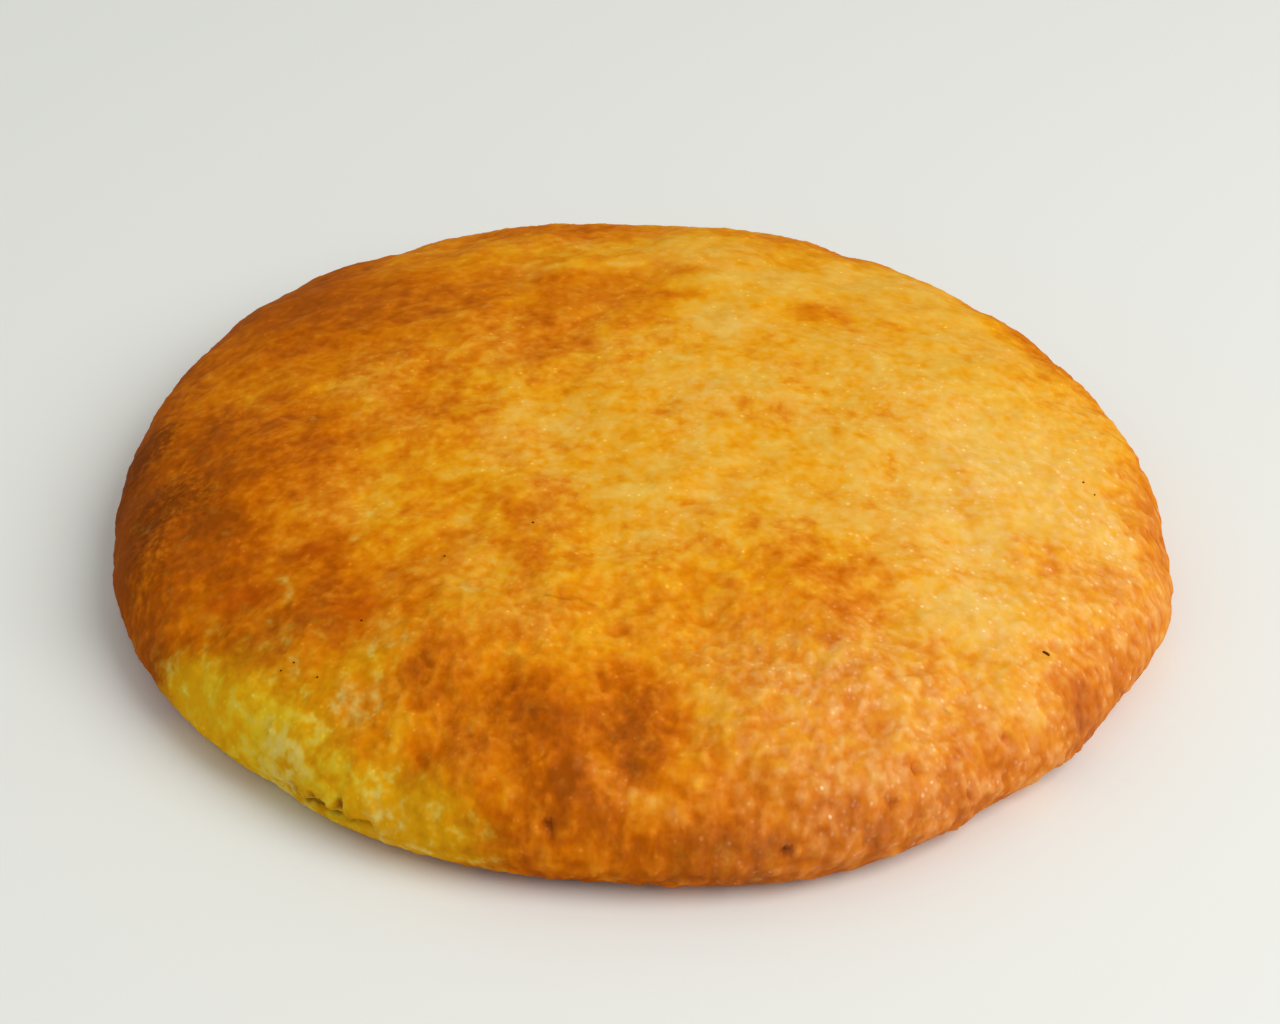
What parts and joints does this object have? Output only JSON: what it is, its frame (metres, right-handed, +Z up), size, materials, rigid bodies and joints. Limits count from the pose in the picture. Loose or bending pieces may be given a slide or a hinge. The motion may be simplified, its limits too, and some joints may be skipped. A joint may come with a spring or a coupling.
{
  "type": "rice bread",
  "caption": "Round flat rice bread, a low dome with a lumpy golden to toasted crust, an edge that rolls under and a flat underside.",
  "frame": {"origin": "middle of the flat underside, on the surface that the bread lies on", "axes": "+Z up through the dome, -Y towards the craggy front edge, +X to the right as seen from the front"},
  "size_m": [0.1096, 0.1098, 0.0192],
  "materials": {
    "crust": "baked rice-dough crust, golden to toasted brown, slightly oily"
  },
  "bodies": {
    "root": {"rice_bread": "crust"}
  },
  "joints": []
}
